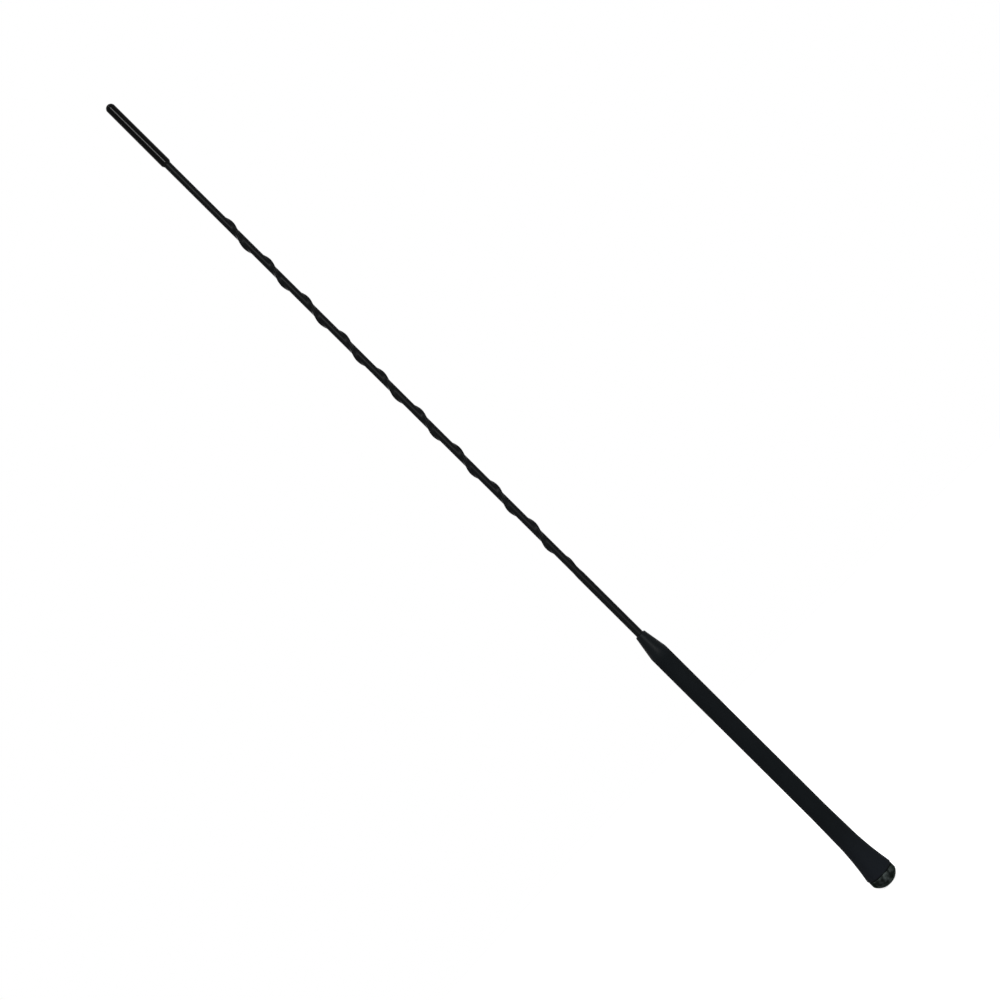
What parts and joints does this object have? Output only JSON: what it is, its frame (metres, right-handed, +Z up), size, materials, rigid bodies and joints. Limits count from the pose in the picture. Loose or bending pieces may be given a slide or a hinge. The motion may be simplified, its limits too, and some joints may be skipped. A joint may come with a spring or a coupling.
{
  "type": "car mast aerial",
  "caption": "Slim black whip aerial with a spiral wind ridge on its sheath, a capped tip and a long flared grip, screwed to a roof base by its threaded foot.",
  "frame": {"origin": "middle of the foot's end face, at the mouth of its threaded hole", "axes": "+Z up the mast from the foot to the tip, X and Y across it"},
  "size_m": [0.0154, 0.0154, 0.55],
  "materials": {
    "gloss_cap": "polished black moulded plastic",
    "shrunk_sheath": "satin black shrunk sleeve",
    "spring_steel": "drawn bright spring steel",
    "moulded_grip": "matte black soft moulding",
    "plated_foot": "glossy black plating on turned metal"
  },
  "bodies": {
    "root": {"tip_cap": "gloss_cap", "whip_sheath": "shrunk_sheath", "whip_core": "spring_steel", "grip": "moulded_grip", "base_socket": "plated_foot"}
  },
  "joints": []
}
